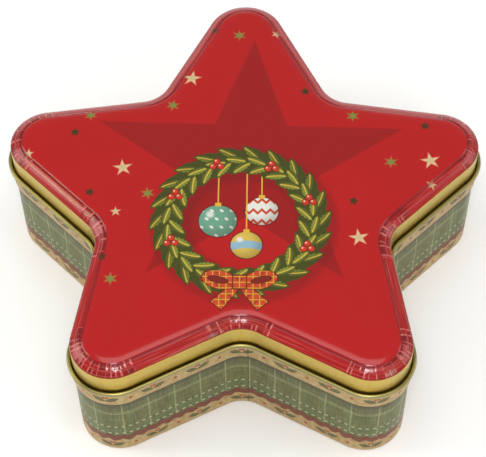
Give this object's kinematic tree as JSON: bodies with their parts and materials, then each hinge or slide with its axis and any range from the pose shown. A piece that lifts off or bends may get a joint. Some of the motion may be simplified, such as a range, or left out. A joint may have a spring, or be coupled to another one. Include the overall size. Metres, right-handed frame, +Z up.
{
  "type": "star-shaped cookie tin",
  "caption": "Star-shaped tinplate cookie tin with rounded tips, a rolled rim, a lock-seamed side and a lift-off lid with a bevelled edge.",
  "frame": {"origin": "middle of the outline's box on the plane that the foot stands on", "axes": "+Z up, +Y towards the back tip of the star, +X to the right as seen from the front valley"},
  "size_m": [0.2096, 0.2015, 0.0663],
  "materials": {
    "body_print": "printed and varnished, green plaid between tan bands",
    "plain_tin": "bare bright tinplate",
    "lid_print": "printed red, gloss varnish, gold skirt"
  },
  "bodies": {
    "tin": {"body": "body_print", "bottom": "plain_tin"},
    "lid": {"lid": "lid_print"}
  },
  "joints": [
    {"name": "lid_lift", "type": "slide", "parent": "tin", "child": "lid", "axis": [0, 0, 1], "range_m": [0, 0.1]}
  ]
}
